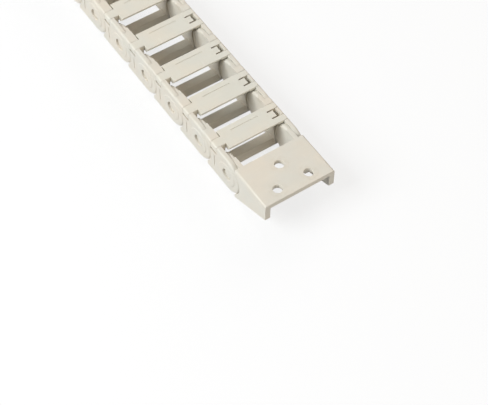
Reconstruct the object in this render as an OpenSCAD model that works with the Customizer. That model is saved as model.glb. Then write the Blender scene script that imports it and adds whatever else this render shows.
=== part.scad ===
// Openable cable drag chain: U-shaped links with hinged crossbars and an end bracket at each end.
// X runs across the chain, Y along it and Z up. The chain rests straight on Z = 0 with its
// crossbars up, and the origin lies under its middle.

/* [Chain] */
// Number of links between the two brackets
link_count = 9; // [2:1:12]
// Distance from one pivot axis to the next
pitch = 17; // [16.5:0.25:19]
// Clear width inside the links
channel_w = 20; // [16:0.5:40]
// Clear height between the fixed bar and the crossbar
channel_h = 10; // [9:0.5:12]
// Largest bend at one pivot, in degrees
bend_angle = 25.5; // [18:0.5:28]

/* [Link] */
// Thickness of the inner side plate that carries the pins
inner_wall = 1.6; // [1.2:0.1:2.4]
// Thickness of the outer side plate that turns on the pins
outer_wall = 1.8; // [1.4:0.1:2.4]
// Thickness of the crossbar and of the fixed bar
bar_t = 2.15; // [1.8:0.05:2.6]
// Width of the crossbar along the chain
bar_w = 8.3; // [7.9:0.1:8.7]
// Height of the upright edges of both bars
bar_edge = 0.7; // [0.4:0.1:1]
// Distance that both bars taper in towards the cables
bar_taper = 1.2; // [0.6:0.1:1.4]
// Distance from the near pivot axis to the crossbar
bar_y0 = 3.85; // [3.6:0.05:4.2]
// Distance from the near pivot axis to the thick part of the side wall
wall_y0 = 6.1; // [5.9:0.1:6.4]
// Distance from the near pivot axis to the lower end of the side wall
wall_y1 = 11.7; // [11:0.1:12.4]
// Distance from the upper end of the side wall to the next pivot axis
tip_gap = 2.1; // [2:0.1:3]
// Radius of the long outer edges and of the rims of the outer lugs
edge_r = 0.8; // [0.4:0.1:0.9]
// Drop of the inner lug below the top of the chain
lug_drop = 0.3; // [0.2:0.05:0.8]
// Bevel round the inner lug, where cables slide over it
lug_bevel = 0.6; // [0.2:0.1:1]
// Distance from the near pivot axis to the fine groove in the side wall
side_groove_y = 7.05; // [6.8:0.05:7.4]

/* [Pivot] */
// Radius of the pivot pin
pin_r = 2; // [1.6:0.05:2.3]
// Depth of the pin's end below the outer face
pin_recess = 0.4; // [0.2:0.1:0.8]
// Chamfer on the pin's end
pin_chamfer = 0.3; // [0.1:0.05:0.5]
// Radius of the low collar round the pin hole
collar_r = 4.7; // [4:0.1:5.2]
// Height of the collar above the outer face
collar_h = 0.2; // [0.1:0.02:0.3]
// Width of the collar's slope on each side of its radius
collar_w = 0.3; // [0.2:0.05:0.4]
// Inner radius of the stop pad beside the pin
stop_r0 = 3.6; // [3.2:0.1:4]
// Width of the stop pad across its arc
stop_w = 1.7; // [1.2:0.1:2]
// Angle that the stop pad spans
stop_span = 30; // [20:1:40]
// Height of the stop pad above the face of the inner lug
stop_h = 1; // [0.6:0.1:1.1]

/* [Crossbar] */
// Width of the hinge tongue along the chain
hinge_w = 3.4; // [3:0.1:4]
// Half the height of the hinge tongue, which turns about its middle
barrel_r = 1.2; // [1.1:0.05:1.25]
// Distance from the outer face to the hinge axis
hinge_inset = 1.3; // [1.3:0.05:1.6]
// Radius of the trunnion on each side of the hinge tongue
trunnion_r = 0.6; // [0.5:0.05:0.7]
// Length of each trunnion
trunnion_l = 0.7; // [0.5:0.1:0.9]
// Height of the slot that shows under the hinge tongue
hinge_slot = 1.2; // [1:0.1:1.4]
// Thickness of the strips that reach over the side wall
strip_t = 1.1; // [0.9:0.05:1.3]
// Width of the catch block along the chain
catch_w = 3.4; // [3:0.1:4]
// Thickness of the catch block across the chain
catch_t = 1.35; // [1.2:0.05:1.6]
// Width of the pry window between the latch tongue and the catch block
window_w = 1.35; // [1:0.05:1.6]
// Length of the slits beside the latch tongue
slit_l = 2; // [1:0.1:3]
// Width of the slits beside the latch tongue
slit_w = 0.5; // [0.3:0.05:0.7]
// Depth of the latch leg below the top of the chain
leg_depth = 4.3; // [4:0.1:4.6]
// Thickness of the latch leg
leg_t = 1; // [0.8:0.1:1.2]
// Reach of the latch barb beyond the leg
barb_t = 0.6; // [0.4:0.05:0.7]
// Width of the fine grooves in crossbars and side walls
groove_w = 0.5; // [0.3:0.05:0.6]
// Depth of the fine grooves
groove_d = 0.15; // [0.1:0.05:0.4]
// Distance from the far edge of the crossbar to its groove
groove_in = 2; // [1.5:0.1:3]

/* [Brackets] */
// Distance from the pivot axis to the flange of the near bracket
near_flange_y = 4.6; // [4.4:0.1:5]
// Distance from the pivot axis to the flange of the far bracket
far_flange_y = 3.6; // [3.4:0.1:4.2]
// Length of the mounting flange
flange_l = 17.7; // [16:0.1:24]
// Thickness of the mounting flange
flange_t = 1.9; // [1.4:0.1:2.2]
// Thickness of the bracket's side walls
bracket_wall = 2; // [1.6:0.1:3]
// Height of the side walls at the free end
free_end_h = 7; // [5:0.5:9]
// Radius of the screw holes
screw_r = 1.7; // [1.2:0.05:2.2]
// Distance between the two screw holes of the row
screw_row = 12.1; // [10:0.1:13]
// Distance from the free end to the row of two screw holes
screw_row_in = 4; // [3:0.1:6]
// Distance from the row to the single screw hole
screw_step = 7.9; // [6:0.1:9]

/* [Clearances] */
// Gap between the faces of inner and outer lugs
lug_gap = 0.1; // [0.08:0.02:0.4]
// Gap round the ends of the lugs
end_gap = 0.25; // [0.2:0.05:0.5]
// Gap between pin and hole
pin_gap = 0.2; // [0.1:0.05:0.3]
// Gap between the crossbar and the side walls
fit_gap = 0.12; // [0.08:0.01:0.2]
// Gap beside the hinge tongue and round its trunnions
hinge_gap = 0.08; // [0.05:0.01:0.12]
// Gap that the hinged end of the crossbar keeps while it swings past the wall
swing_gap = 0.06; // [0.04:0.01:0.15]
// Gap at each end of the stop pad's travel, in degrees
stop_gap = 1; // [0.5:0.25:2]
// Gap between the latch barb and its ledge
latch_gap = 0.15; // [0.12:0.01:0.3]

/* [Hidden] */
$fn = 64;
over = 1;
lap = 0.2;
wall = inner_wall + lug_gap + outer_wall;
link_h = channel_h + 2 * bar_t;
mid_z = link_h / 2;
lug_r = link_h / 2;
inner_lug_r = lug_r - lug_drop;
inner_x0 = channel_w / 2;
inner_x1 = inner_x0 + inner_wall;
outer_x0 = inner_x1 + lug_gap;
outer_x1 = inner_x0 + wall;
bar_y1 = bar_y0 + bar_w;
tip_y1 = pitch - tip_gap;
catch_y = bar_y0 + bar_w / 2;
strip_z = link_h - strip_t;
catch_x0 = outer_x1 - catch_t;
tongue_x1 = catch_x0 - window_w;
tongue_w = catch_w + 2 * fit_gap - 2 * slit_w;
hinge_x = outer_x1 - hinge_inset;
hinge_z = link_h - barrel_r;
notch_z = link_h - 2 * barrel_r - hinge_slot;
slab_x0 = -hinge_x + norm([hinge_x - inner_x0, link_h - hinge_z]) + swing_gap;
slab_x1 = inner_x0 - fit_gap;
foot_z = link_h - leg_depth;
barb_x = tongue_x1 + barb_t;
ledge_x = barb_x + latch_gap;
free_z = link_h - free_end_h;
near_flange_y1 = near_flange_y + flange_l;
far_flange_y1 = far_flange_y + flange_l;
chain_l = link_count * pitch;
first_pivot_y = (near_flange_y1 - chain_l - far_flange_y1) / 2;

// Extrudes a profile drawn in Y and Z between two X positions.
module across(x0, x1) {
    translate([x0, 0, 0]) rotate([90, 0, 90]) linear_extrude(x1 - x0) children();
}

// Extrudes a profile drawn in X and Z between two Y positions.
module along(y0, y1) {
    translate([0, y1, 0]) rotate([90, 0, 0]) linear_extrude(y1 - y0) children();
}

module both_sides() {
    children();
    mirror([1, 0, 0]) children();
}

// Places what is drawn from a pivot at pivot number n, counted from the near bracket.
module at_pivot(n) {
    translate([0, first_pivot_y + n * pitch, 0]) children();
}

// Rectangle from the origin whose far corner is rounded, as the outer edges are.
module round_corner(w, h) {
    square([w, h - edge_r]);
    square([w - edge_r, h]);
    translate([w - edge_r, h - edge_r]) intersection() {
        circle(r = edge_r);
        square(edge_r);
    }
}

// Disc, boss or bore round a pivot axis at distance y.
module disc(y, x0, x1, r0, r1) {
    translate([x0, y, mid_z]) rotate([0, 90, 0]) cylinder(h = x1 - x0, r1 = r0, r2 = r1);
}

module bore(y, x0, x1, r) {
    disc(y, x0, x1, r, r);
}

// Turns a profile, drawn from the pivot axis and from x0, from angle a0 to a1; +Y is 0 and +Z is 90.
module turned(y, x0, a0, a1) {
    translate([x0, y, mid_z]) rotate([90, 0, 90]) rotate_extrude(start = a0, angle = a1 - a0) children();
}

// Stop pads stand above and below the pin, and swing in arc pockets of the outer lug.
module stop_pads(y) {
    for (a = [90, 270])
        turned(y, inner_x1 - lap, a - stop_span / 2, a + stop_span / 2)
            translate([stop_r0, 0]) square([stop_w, stop_h + lap]);
}

module stop_pockets() {
    for (a = [90, 270])
        turned(0, outer_x0 - over, a - stop_span / 2 - stop_gap, a + stop_span / 2 + bend_angle + stop_gap)
            translate([stop_r0 - end_gap, 0]) square([stop_w + 2 * end_gap, stop_h + over]);
}

// Inner lug at the far end of a link: bevelled round end, pivot pin and stop pads.
module inner_lug(y, neck_y) {
    pin_end = outer_x1 - pin_recess;
    disc(y, inner_x0, inner_x0 + lug_bevel, inner_lug_r - lug_bevel, inner_lug_r);
    bore(y, inner_x0 + lug_bevel, inner_x1, inner_lug_r);
    across(inner_x0, inner_x1)
        translate([neck_y, lug_drop]) square([y - neck_y, link_h - 2 * lug_drop]);
    bore(y, inner_x1 - lap, pin_end - pin_chamfer, pin_r);
    disc(y, pin_end - pin_chamfer, pin_end, pin_r, pin_r - pin_chamfer);
    stop_pads(y);
}

// Outer lug with a rounded rim and a low collar round the hole, and the plate behind it up to y1.
module outer_lug(y1) {
    turned(0, outer_x0, 90, 270) translate([pin_r / 2, 0]) round_corner(lug_r - pin_r / 2, outer_wall);
    along(0, y1) translate([outer_x0, mid_z]) {
        round_corner(outer_wall, mid_z);
        mirror([0, 1]) round_corner(outer_wall, mid_z);
    }
    disc(0, outer_x1 - collar_h, outer_x1 + collar_h, collar_r + collar_w, collar_r - collar_w);
}

module outer_lug_cuts() {
    bore(0, outer_x0 - over, outer_x1 + over, pin_r + pin_gap);
    stop_pockets();
    bore(0, inner_x0 - over, outer_x0, inner_lug_r + end_gap);
}

// Room for the outer lug that turns on the pin at distance y.
module outer_lug_room(y) {
    bore(y, inner_x1, outer_x1 + over, lug_r + end_gap);
}

module side_wall() {
    difference() {
        union() {
            outer_lug(tip_y1);
            translate([inner_x0, wall_y0, 0]) cube([inner_wall + lug_gap + lap, tip_y1 - wall_y0, link_h]);
        }
        translate([inner_x0 - over, wall_y1, -over]) cube([wall + 2 * over, pitch, mid_z + over]);
        outer_lug_room(pitch);
        outer_lug_cuts();
        translate([outer_x1 - groove_d, side_groove_y, mid_z - channel_h * 0.33])
            cube([groove_d + over, groove_w, channel_h * 0.53]);
    }
    inner_lug(pitch, wall_y1 - lap);
}

// Seat in the right-hand wall for the crossbar's strips, round the catch block.
module strip_seat() {
    difference() {
        translate([inner_x0 - over, bar_y0 - fit_gap, strip_z])
            cube([wall + 2 * over, bar_w + 2 * fit_gap, strip_t + over]);
        translate([catch_x0, catch_y - catch_w / 2, 0]) cube([catch_t + 2 * over, catch_w, link_h]);
    }
}

module latch_pocket() {
    translate([inner_x0 - over, catch_y - catch_w / 2 - fit_gap, foot_z - end_gap])
        cube([catch_x0 - inner_x0 + over, catch_w + 2 * fit_gap, leg_depth + over]);
}

// Ledge with a sloped lead-in, which the latch barb rests under.
module latch_ledge() {
    half_w = catch_w / 2 + fit_gap;
    along(catch_y - half_w, catch_y + half_w)
        polygon([[catch_x0 + lap, foot_z + barb_t], [catch_x0, foot_z + barb_t],
                 [ledge_x, foot_z + barb_t * 1.5], [ledge_x, foot_z + barb_t * 2],
                 [catch_x0, foot_z + barb_t * 3.5], [catch_x0 + lap, foot_z + barb_t * 3.5]]);
}

// Notch in the left-hand wall for the hinge tongue, with a blind socket in each cheek.
module hinge_notch() {
    notch_w = hinge_w + 2 * hinge_gap;
    socket_l = notch_w + 2 * trunnion_l;
    translate([-outer_x1 - over, catch_y - notch_w / 2, notch_z]) cube([wall + 2 * over, notch_w, link_h]);
    translate([-hinge_x, catch_y - socket_l / 2, hinge_z])
        rotate([-90, 0, 0]) cylinder(h = socket_l, r = trunnion_r + hinge_gap);
}

// Profile of a bar in Y and Z: upright edges, then tapered in towards the cables.
module bar_profile(y0, y1) {
    polygon([[y0, 0], [y1, 0], [y1, bar_edge], [y1 - bar_taper, bar_t], [y0 + bar_taper, bar_t], [y0, bar_edge]]);
}

module link(i) {
    color("antiquewhite") at_pivot(i - 1) {
        difference() {
            union() {
                both_sides() side_wall();
                across(-inner_x0 - lap, inner_x0 + lap) bar_profile(wall_y0, wall_y1);
            }
            strip_seat();
            latch_pocket();
            hinge_notch();
        }
        latch_ledge();
    }
}

// Latch leg that hangs from the tongue, with its barb turned outwards.
module latch_leg() {
    along(catch_y - tongue_w / 2, catch_y + tongue_w / 2)
        polygon([[tongue_x1 - leg_t, strip_z + lap], [tongue_x1, strip_z + lap],
                 [tongue_x1, foot_z + barb_t + lap], [barb_x, foot_z + barb_t / 2 + lap],
                 [barb_x, foot_z + barb_t / 2], [tongue_x1 - lap, foot_z],
                 [tongue_x1 - leg_t + barb_t / 2, foot_z]]);
}

// Hinge tongue that reaches over the left-hand wall to the outer face, with a trunnion on each side.
module crossbar_hinge() {
    trunnions_l = hinge_w + 2 * trunnion_l;
    mirror([1, 0, 0]) along(catch_y - hinge_w / 2, catch_y + hinge_w / 2)
        translate([-slab_x0 - lap, link_h - 2 * barrel_r]) round_corner(outer_x1 + slab_x0 + lap, 2 * barrel_r);
    translate([-hinge_x, catch_y - trunnions_l / 2, hinge_z])
        rotate([-90, 0, 0]) cylinder(h = trunnions_l, r = trunnion_r);
}

// Crossbar: slab between the walls, strips over the right-hand wall, latch and hinge.
module crossbar(i) {
    color("oldlace") at_pivot(i - 1) {
        difference() {
            union() {
                across(slab_x0, slab_x1) translate([0, link_h]) mirror([0, 1]) bar_profile(bar_y0, bar_y1);
                along(bar_y0, bar_y1) translate([slab_x1 - lap, strip_z])
                    round_corner(outer_x1 - slab_x1 + lap, strip_t);
            }
            translate([tongue_x1, catch_y - catch_w / 2 - fit_gap, 0])
                cube([window_w + catch_t + over, catch_w + 2 * fit_gap, link_h + over]);
            for (s = [-1, 1])
                translate([tongue_x1 - slit_l, catch_y + s * (tongue_w + slit_w) / 2 - slit_w / 2, 0])
                    cube([slit_l + over, slit_w, link_h + over]);
            translate([-channel_w * 0.265, bar_y1 - groove_in - groove_w, link_h - groove_d])
                cube([channel_w * 0.53, groove_w, over]);
        }
        latch_leg();
        crossbar_hinge();
    }
}

// Flange with its three screw holes; y0 is its inner edge and y1 its free end.
module flange(y0, y1) {
    away = sign(y1 - y0);
    row_y = y1 - away * screw_row_in;
    difference() {
        translate([edge_r - outer_x1, min(y0, y1), link_h - flange_t])
            cube([2 * (outer_x1 - edge_r), abs(y1 - y0), flange_t]);
        for (p = [[-screw_row / 2, row_y], [screw_row / 2, row_y], [0, row_y - away * screw_step]])
            translate([p.x, p.y, link_h - flange_t - over]) cylinder(h = flange_t + 2 * over, r = screw_r);
    }
}

// Space inside the outer face and the top of one side, with the edge between them rounded.
module outer_envelope(y0, y1) {
    along(y0, y1) translate([0, -over]) round_corner(outer_x1, link_h + over);
}

// Side of the near bracket: full height and thick at its root, tapered and thinner at the free end.
module near_bracket_side() {
    thin_x0 = outer_x1 - bracket_wall;
    intersection() {
        union() {
            across(thin_x0, outer_x1 + over) near_bracket_profile(near_flange_y1);
            across(inner_x0, thin_x0 + lap) near_bracket_profile(near_flange_y + inner_lug_r);
        }
        outer_envelope(-near_flange_y1 - over, 0);
    }
}

// Outline of the near bracket's side up to distance y from the pivot axis.
module near_bracket_profile(y) {
    low_z = free_z * (y - near_flange_y) / flange_l;
    polygon([[-near_flange_y, 0], [-near_flange_y, link_h + over], [-y, link_h + over], [-y, low_z]]);
}

module near_bracket() {
    color("antiquewhite") at_pivot(0) {
        difference() {
            union() {
                both_sides() near_bracket_side();
                flange(-near_flange_y, -near_flange_y1);
            }
            both_sides() outer_lug_room(0);
        }
        both_sides() inner_lug(0, -near_flange_y - lap);
    }
}

// Taper below the side of the far bracket, which starts at its flange.
module far_bracket_taper() {
    run = flange_l / free_z;
    across(inner_x0, outer_x1 + over)
        polygon([[far_flange_y - over * run, -over], [far_flange_y1 + over * run, free_z + over],
                 [far_flange_y1 + over * run, -over]]);
}

module far_bracket() {
    color("antiquewhite") at_pivot(link_count)
        difference() {
            union() {
                both_sides() {
                    outer_lug(far_flange_y1);
                    translate([outer_x1 - bracket_wall, wall_y0, 0])
                        cube([bracket_wall - outer_wall + lap, far_flange_y1 - wall_y0, link_h]);
                }
                flange(far_flange_y, far_flange_y1);
            }
            both_sides() {
                outer_lug_cuts();
                far_bracket_taper();
            }
        }
}

near_bracket();
for (i = [1 : link_count]) {
    link(i);
    crossbar(i);
}
far_bracket();
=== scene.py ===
import math

import bmesh
import bpy
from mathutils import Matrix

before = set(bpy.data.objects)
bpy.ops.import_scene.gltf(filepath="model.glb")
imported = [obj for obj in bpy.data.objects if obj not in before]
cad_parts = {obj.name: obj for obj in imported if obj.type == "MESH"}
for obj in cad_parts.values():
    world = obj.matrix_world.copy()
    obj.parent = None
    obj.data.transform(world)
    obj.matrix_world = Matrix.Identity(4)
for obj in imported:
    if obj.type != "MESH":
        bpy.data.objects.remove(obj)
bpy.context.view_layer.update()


# ---------------------------------------------------------------------------------------------
# Near bracket: the flanged end piece that screws down and starts the chain. It is one injection
# moulding in cream polyamide, with a fine grain from the mould and softly broken edges. Screw
# heads have rubbed the flat flange a little round its three holes.
# ---------------------------------------------------------------------------------------------
class Number:
    """A number that changes over the surface. Arithmetic on it adds Math nodes."""

    def __init__(self, nodes, socket):
        self.nodes = nodes
        self.socket = socket

    def maths(self, operation, *numbers):
        """The result of one Math node."""
        return self.nodes.node("ShaderNodeMath", {"operation": operation}, dict(enumerate(numbers)))

    def __add__(self, other):
        return self.maths("ADD", self, other)

    __radd__ = __add__

    def __sub__(self, other):
        return self.maths("SUBTRACT", self, other)

    def __rsub__(self, other):
        return self.maths("SUBTRACT", other, self)

    def __mul__(self, other):
        return self.maths("MULTIPLY", self, other)

    __rmul__ = __mul__

    def __pow__(self, other):
        return self.maths("POWER", self, other)

    def __mod__(self, other):
        return self.maths("FLOORED_MODULO", self, other)

    def __abs__(self):
        return self.maths("ABSOLUTE", self)

    def most(self, other):
        """The larger of two numbers."""
        return self.maths("MAXIMUM", self, other)

    def root(self):
        """The square root."""
        return self.maths("SQRT", self)

    def rise(self, start, end):
        """0 below start, 1 above end and a smooth step between them."""
        return self.nodes.node(
            "ShaderNodeMapRange",
            {"interpolation_type": "SMOOTHSTEP"},
            {"Value": self, "From Min": start, "From Max": end},
        )

    def band(self, middle, half_width, soft):
        """1 within half_width of the middle, falling to 0 over the soft distance."""
        return 1.0 - abs(self - middle).rise(half_width, half_width + soft)


class Nodes:
    """The node tree of a material or a world, which one method fills."""

    def __init__(self, owner):
        owner.use_nodes = True
        self.tree = owner.node_tree
        self.tree.nodes.clear()

    def node(self, kind, settings=None, inputs=None, output=0):
        """Adds a node of that type: first its settings, then the values or links of its sockets.

        It gives back the named output, or with None the node itself.
        """
        node = self.tree.nodes.new(kind)
        for name, value in (settings or {}).items():
            setattr(node, name, value)
        for name, value in (inputs or {}).items():
            socket = node.inputs[name]
            if isinstance(value, Number):
                value = value.socket
            if isinstance(value, bpy.types.NodeSocket):
                self.tree.links.new(value, socket)
            else:
                socket.default_value = value
        if output is None:
            return node
        made = node.outputs[output]
        return Number(self, made) if made.type == "VALUE" else made

    def mix(self, share, first, second):
        """Goes from the first colour to the second by a share from 0 to 1."""
        factor, colour_a, colour_b, mixed_colour = 0, 6, 7, 2
        return self.node(
            "ShaderNodeMix",
            {"data_type": "RGBA", "clamp_factor": True},
            {factor: share, colour_a: first, colour_b: second},
            output=mixed_colour,
        )

    def blend(self, share, first, second):
        """Goes from the first shader to the second by a share from 0 to 1."""
        return self.node("ShaderNodeMixShader", {}, {0: share, 1: first, 2: second})

    def ray(self, kind):
        """1 for light-path rays of that kind, such as Camera, and 0 for others."""
        return self.node("ShaderNodeLightPath", output=f"Is {kind} Ray")


class Finish(Nodes):
    """The node tree of one finish. Lengths in it are millimetres on the piece itself."""

    millimetre = 0.001

    def __init__(self, name):
        self.material = bpy.data.materials.new(name)
        super().__init__(self.material)
        self.spot = self.node(
            "ShaderNodeVectorMath",
            {"operation": "SCALE"},
            {0: self.node("ShaderNodeTexCoord", output="Object"), "Scale": 1.0 / self.millimetre},
        )
        split = self.node("ShaderNodeSeparateXYZ", {}, {0: self.spot}, output=None)
        self.x, self.y, self.z = (Number(self, split.outputs[axis]) for axis in "XYZ")

    def noise(self, size, stretch=(1.0, 1.0, 1.0), detail=2.0, rough=0.5, shift=0.0):
        """Soft random pattern from 0 to 1, with features of about that size.

        The shift moves it, so that two patterns of one finish differ.
        """
        place = self.node(
            "ShaderNodeMapping",
            {"vector_type": "POINT"},
            {
                "Vector": self.spot,
                "Location": (shift, shift * 1.7, shift * 0.6),
                "Scale": tuple(1.0 / (size * longer) for longer in stretch),
            },
        )
        return self.node(
            "ShaderNodeTexNoise",
            {"noise_dimensions": "3D"},
            {"Vector": place, "Scale": 1.0, "Detail": detail, "Roughness": rough},
            output="Fac",
        )

    def turned_edges(self, radius):
        """1 on edges that turn within the radius and 0 on the flats beside them."""
        unlike, alike = 0.80, 0.995
        rounded = self.node(
            "ShaderNodeBevel",
            {"samples": 6},
            {"Radius": radius * self.millimetre},
            output="Normal",
        )
        own = self.node("ShaderNodeNewGeometry", output="Normal")
        likeness = self.node(
            "ShaderNodeVectorMath",
            {"operation": "DOT_PRODUCT"},
            {0: rounded, 1: own},
            output="Value",
        )
        return 1.0 - likeness.rise(unlike, alike)

    def recess(self, reach):
        """1 deep in corners and gaps of the piece and 0 in the open."""
        open_share = self.node(
            "ShaderNodeAmbientOcclusion",
            {"samples": 6, "only_local": True},
            {"Distance": reach * self.millimetre},
            output="AO",
        )
        return 1.0 - open_share

    def close(self, shader):
        """Ends the tree in that shader and gives back the finished material."""
        self.node("ShaderNodeOutputMaterial", {}, {"Surface": shader}, output=None)
        return self.material


def linear(*levels):
    """A colour given as levels from 0 to 255 in a picture, as a shader wants it (sRGB curve)."""
    parts = [level / 255.0 for level in levels]
    return tuple(
        part / 12.92 if part <= 0.04045 else ((part + 0.055) / 1.055) ** 2.4 for part in parts
    ) + (1.0,)


def moved(cream, *steps):
    """The cream with its red, green and blue levels moved by a few steps."""
    return linear(*(level + step for level, step in zip(cream, steps)))


# Darker brown for dust and painted shade in corners and gaps.
dust_and_shade_brown = linear(142, 108, 70)
# Paler cream for worn edges and a painted highlight along them.
worn_and_highlit_edge = linear(238, 233, 221)
scuffed = linear(240, 236, 226)
polished = linear(196, 184, 160)


def moulded_nylon(name, cream, flow, rubbed, gloss=0.47):
    """Cream polyamide as it leaves the mould and wears in use, with painted shade in its corners
    and painted highlights on its edges.

    The cream is in levels from 0 to 255. The flow stretches the marks along the way that the
    melt ran, and rubbed says where other parts or tools have polished the surface.
    """
    finish = Finish(name)

    # What the mould leaves, from wide clouds in the colour to the fine grain.
    cloud = finish.noise(14.0, detail=3.0, rough=0.55)
    patch = finish.noise(5.5, shift=11.0)
    streak = finish.noise(2.2, stretch=flow, detail=3.0, rough=0.6, shift=4.0)
    skin = finish.noise(1.3, shift=7.0)
    grain = finish.noise(0.16, rough=0.65)

    # What use leaves, and painted light: scuffs across the flow, worn edges with a painted
    # highlight, dust and painted shade in the corners, rubbed places.
    scuff_width, scuff_length = 0.22, 9.0
    across = tuple(scuff_length * longer for longer in (flow[1], flow[0], 1.0))
    scuff_lines = finish.noise(scuff_width, stretch=across, detail=1.0, shift=19.0)
    scuff = scuff_lines.rise(0.67, 0.74) * finish.noise(7.0, shift=43.0).rise(0.48, 0.62)
    uneven_wear_and_highlight = finish.noise(1.1, detail=3.0, shift=3.0).rise(0.34, 0.60)
    edge_wear_and_highlight = finish.turned_edges(radius=0.22) * uneven_wear_and_highlight
    uneven_dust_and_shade = 0.55 + 0.45 * finish.noise(2.6, detail=3.0, shift=23.0)
    dust_and_shade = finish.recess(reach=1.5).rise(0.26, 0.78) * uneven_dust_and_shade
    mark = rubbed(finish)

    # Each row lays one more shade over the cream: how much of it, where, and which shade.
    colour = finish.mix(cloud.rise(0.32, 0.68), moved(cream, 2, -1, -3), moved(cream, -3, -1, 1))
    for share, where, shade in (
        (0.30, patch.rise(0.45, 0.75), moved(cream, -7, -7, -7)),
        (0.22, streak.rise(0.50, 0.78), moved(cream, 8, 8, 8)),
        # Dust and painted shade: darker brown deep in corners and gaps.
        (0.56, dust_and_shade, dust_and_shade_brown),
        # Wear and a painted highlight: paler cream on turned edges.
        (0.30, edge_wear_and_highlight, worn_and_highlit_edge),
        (0.22, scuff, scuffed),
        (0.16, mark, polished),
    ):
        colour = finish.mix(share * where, colour, shade)

    # Grain and dust dull the surface, and wear shines it. The heights are millimetres.
    roughness = gloss + 0.10 * (cloud - 0.5) + 0.10 * (grain - 0.5) + 0.16 * dust_and_shade
    roughness = roughness - 0.10 * edge_wear_and_highlight - 0.08 * scuff - 0.14 * mark
    height = 0.010 * grain + 0.030 * skin + 0.018 * streak - 0.012 * scuff - 0.012 * mark
    normal = finish.node(
        "ShaderNodeBump",
        {},
        {"Strength": 1.0, "Distance": finish.millimetre, "Height": height},
        output="Normal",
    )
    return finish.close(
        finish.node(
            "ShaderNodeBsdfPrincipled",
            {},
            {
                "Base Color": colour,
                "Roughness": roughness,
                "Normal": normal,
                "IOR": 1.53,
                "Specular IOR Level": 0.45,
            },
        )
    )


def dress(node, material, edge_radius):
    """Gives a CAD node its finish, and its sharp edges the mould's small radius."""
    same_spot = 1e-6
    sharp_from = math.radians(38.0)
    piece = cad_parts[node]
    for slot in piece.material_slots:
        slot.material = material
    weld = piece.modifiers.new("weld", "WELD")
    weld.merge_threshold = same_spot
    edges = piece.modifiers.new("edges", "BEVEL")
    edges.width = edge_radius * Finish.millimetre
    edges.segments = 2
    edges.limit_method = "ANGLE"
    edges.angle_limit = sharp_from
    edges.use_clamp_overlap = False
    edges.harden_normals = True


def distance(across, along):
    """How far a spot lies from a centre, from its two offsets."""
    return (across ** 2.0 + along ** 2.0).root()


def screw_rub(holes, shift):
    """Faint rings on a flange where screw heads were tightened on its three holes at x, y."""
    head_radius, half_width, soft = 2.5, 0.55, 0.5
    top_starts, top_ends = 13.9, 14.2

    def rubbed(finish):
        rings = [
            distance(finish.x - x, finish.y - y).band(head_radius, half_width, soft)
            for x, y in holes
        ]
        on_top = finish.z.rise(top_starts, top_ends)
        uneven = finish.noise(1.4, shift=shift).rise(0.35, 0.65)
        return rings[0].most(rings[1]).most(rings[2]) * on_top * uneven

    return rubbed


near_holes = ((6.05, -94.3), (-6.05, -94.3), (0.0, -86.4))
bracket_flow = (5.0, 1.0, 1.0)
bracket_edge = 0.05

near_nylon = moulded_nylon(
    "bracket_nylon", (224, 218, 204), bracket_flow, screw_rub(near_holes, shift=51.0)
)
dress("near_bracket", near_nylon, bracket_edge)


# ---------------------------------------------------------------------------------------------
# Links: nine U-shaped mouldings in the same cream polyamide. Each snaps its pins into the round
# lugs of the next, and the lugs rub a faint ring on one another as the chain bends.
# ---------------------------------------------------------------------------------------------
link_numbers = range(1, 10)
pitch = 17.0
first_pivot_y = -76.0
pivot_z = 7.15
lug_ring, pin_ring = 5.9, 2.9
link_edge = 0.04


def lug_rub(finish):
    """Polished rings about each pivot, where lug turns on lug."""
    along = (finish.y - (first_pivot_y - pitch / 2.0)) % pitch - pitch / 2.0
    away = distance(along, finish.z - pivot_z)
    rings = away.band(lug_ring, 0.35, 0.5).most(away.band(pin_ring, 0.25, 0.4))
    return rings * finish.noise(2.2, shift=61.0).rise(0.42, 0.70)


link_nylon = moulded_nylon("link_nylon", (223, 217, 203), (1.0, 6.0, 1.0), lug_rub)
for number in link_numbers:
    dress(f"link_{number}", link_nylon, link_edge)


# ---------------------------------------------------------------------------------------------
# Crossbars: the lids of the links, moulded from the same polyamide. Each turns on a hinge at
# the left and snaps under a ledge at the right, where a blade pries it open at the window.
# ---------------------------------------------------------------------------------------------
window_x = 9.8
window_past_pivot = 8.0


def blade_rub(finish):
    """Small nicks beside the pry window."""
    along = (finish.y - first_pivot_y) % pitch - window_past_pivot
    near_window = 1.0 - distance(finish.x - window_x, along).rise(0.9, 3.2)
    return near_window * finish.noise(0.5, shift=71.0).rise(0.52, 0.66)


crossbar_nylon = moulded_nylon(
    "crossbar_nylon", (224, 220, 206), (6.0, 1.0, 1.0), blade_rub, gloss=0.45
)
for number in link_numbers:
    dress(f"crossbar_{number}", crossbar_nylon, link_edge)


# ---------------------------------------------------------------------------------------------
# Far bracket: the flanged piece that ends the chain on the fixed side. It is the same polyamide
# as the near bracket, with the round lugs that take the last link's pins.
# ---------------------------------------------------------------------------------------------
far_holes = tuple((x, -y) for x, y in near_holes)

far_nylon = moulded_nylon(
    "far_bracket_nylon", (223, 217, 202), bracket_flow, screw_rub(far_holes, shift=53.0)
)
dress("far_bracket", far_nylon, bracket_edge)


# ---------------------------------------------------------------------------------------------
# Studio: a white table with the chain lying on it, in a white room with three softboxes. The
# table is mostly clear, so the white room shows through it, and so does a chain that bends down
# past it. The rest of it is matt paper, which takes the chain's soft shadow.
# ---------------------------------------------------------------------------------------------
table_size = 3.0
table_gap = 0.00005

table_mesh = bmesh.new()
bmesh.ops.create_grid(table_mesh, x_segments=1, y_segments=1, size=table_size / 2.0)
table_data = bpy.data.meshes.new("table")
table_mesh.to_mesh(table_data)
table_mesh.free()
table = bpy.data.objects.new("table", table_data)
table.location.z = -table_gap
bpy.context.scene.collection.objects.link(table)

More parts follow.
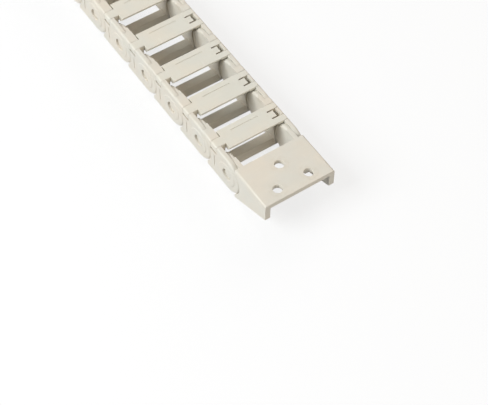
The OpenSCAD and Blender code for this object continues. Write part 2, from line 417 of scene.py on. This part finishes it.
white = (1.0, 1.0, 1.0, 1.0)
bounce_grey = (0.42, 0.42, 0.42, 1.0)
white_near = 0.76
paper_ends = (260.0, 900.0)


def background_rays(nodes):
    """1 for rays that see the background, straight or by gloss or glass, and 0 for light."""
    return nodes.ray("Camera").most(nodes.ray("Glossy")).most(nodes.ray("Transmission"))


table_finish = Finish("table_white")
seen = background_rays(table_finish)
away = distance(table_finish.x, table_finish.y)
white_share = white_near + (1.0 - white_near) * away.rise(*paper_ends)
paper_colour = table_finish.mix(seen, bounce_grey, white)
paper = table_finish.node("ShaderNodeBsdfDiffuse", {}, {"Color": paper_colour})
glow = table_finish.node("ShaderNodeEmission", {}, {"Color": white, "Strength": 1.0})
clear = table_finish.node("ShaderNodeBsdfTransparent", {}, {"Color": white})
plain_white = table_finish.blend(table_finish.ray("Camera"), glow, clear)
top_side = table_finish.blend(white_share * seen, paper, plain_white)
from_below = table_finish.node("ShaderNodeNewGeometry", output="Backfacing")
table.data.materials.append(table_finish.close(table_finish.blend(from_below, top_side, clear)))

room_colour = (1.0, 0.985, 0.96, 1.0)
room_strength = 0.24

world = bpy.data.worlds.new("studio")
bpy.context.scene.world = world
surround = Nodes(world)
room = surround.node(
    "ShaderNodeBackground", {}, {"Color": room_colour, "Strength": room_strength}
)
backdrop = surround.node("ShaderNodeBackground", {}, {"Color": white, "Strength": 1.0})
surround.node(
    "ShaderNodeOutputWorld",
    {},
    {"Surface": surround.blend(background_rays(surround), room, backdrop)},
    output=None,
)


def softbox(name, place, size, power, colour):
    """A square softbox that faces the chain; place and size in metres, power in watts."""
    lamp = bpy.data.lights.new(name, "AREA")
    lamp.color = colour
    lamp.shape = "SQUARE"
    lamp.size = size
    lamp.energy = power
    box = bpy.data.objects.new(name, lamp)
    bpy.context.scene.collection.objects.link(box)
    box.location = place
    x, y, z = place
    tip_down = math.atan2(math.hypot(x, y), z)
    turn_round = math.atan2(-y, -x) - math.pi / 2.0
    box.rotation_euler = (tip_down, 0.0, turn_round)


softbox("key_light", (-0.75, 0.10, 0.62), 0.60, 9.2, (0.965, 1.0, 1.03))
softbox("right_light", (0.72, 0.42, 0.48), 0.60, 2.8, (1.0, 0.89, 0.82))
softbox("front_light", (0.25, -0.95, 0.20), 0.70, 3.4, (1.0, 0.91, 0.80))


# ---------------------------------------------------------------------------------------------
# Camera: a long lens above the near bracket and to its left, looking along the chain. Its
# focal length and the picture's width are in pixels of the photograph.
# ---------------------------------------------------------------------------------------------
focal_pixels = 1500.0
picture_pixels = 488.0
sensor_width = 36.0
camera_place = (-0.17437, -0.32378, 0.39909)
camera_turns = (35.928, -0.277, -33.721)

lens = bpy.data.cameras.new("photo_camera")
lens.sensor_fit = "HORIZONTAL"
lens.sensor_width = sensor_width
lens.lens = focal_pixels * sensor_width / picture_pixels
lens.clip_start = 0.01
lens.clip_end = 10.0
camera = bpy.data.objects.new("photo_camera", lens)
bpy.context.scene.collection.objects.link(camera)
camera.location = camera_place
camera.rotation_euler = tuple(math.radians(turn) for turn in camera_turns)
bpy.context.scene.camera = camera
bpy.context.scene.view_settings.view_transform = "Standard"
